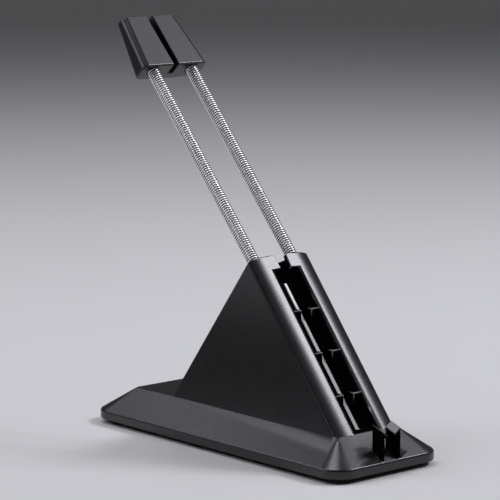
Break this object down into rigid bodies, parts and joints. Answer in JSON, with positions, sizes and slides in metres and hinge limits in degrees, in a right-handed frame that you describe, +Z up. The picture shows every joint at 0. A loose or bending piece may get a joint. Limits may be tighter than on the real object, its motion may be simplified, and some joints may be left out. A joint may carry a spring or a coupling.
{
  "type": "mouse bungee",
  "caption": "Mouse bungee: a weighted base with a wedge tower and toothed cable channel, and a slotted cap on close-wound spring arms that keeps a mouse cable off the desk.",
  "frame": {"origin": "on the desk, under the middle of the base's length and width", "axes": "+Z up, +X to the front, where the channel faces, +Y across the base"},
  "size_m": [0.1312, 0.05, 0.1471],
  "materials": {
    "housing_plastic": "black satin moulding with a fine grain",
    "cap_plastic": "black satin moulding with a fine grain",
    "spring_steel": "bright plated spring wire, close wound",
    "pad_rubber": "soft black foam rubber",
    "plate_plastic": "plain black moulding",
    "ballast_steel": "plain cut bar",
    "screw_steel": "plated",
    "pin_steel": "plain"
  },
  "bodies": {
    "base": {"housing": "housing_plastic", "base_plate": "plate_plastic", "ballast_bar": "ballast_steel", "antislip_pad": "pad_rubber", "plate_screws": "screw_steel", "left_lower_pin": "pin_steel", "right_lower_pin": "pin_steel", "left_spring": "spring_steel", "right_spring": "spring_steel"},
    "head": {"cap": "cap_plastic", "left_upper_pin": "pin_steel", "right_upper_pin": "pin_steel"}
  },
  "joints": [
    {"name": "head_nod", "type": "hinge", "parent": "base", "child": "head", "pos_m": [-0.02132, 0, 0.09712], "axis": [0, 1, 0], "range_deg": [-30, 40], "stiffness_Nm_per_rad": 0.012, "springref_deg": 7.73, "deforming": ["left_spring", "right_spring"]}
  ]
}
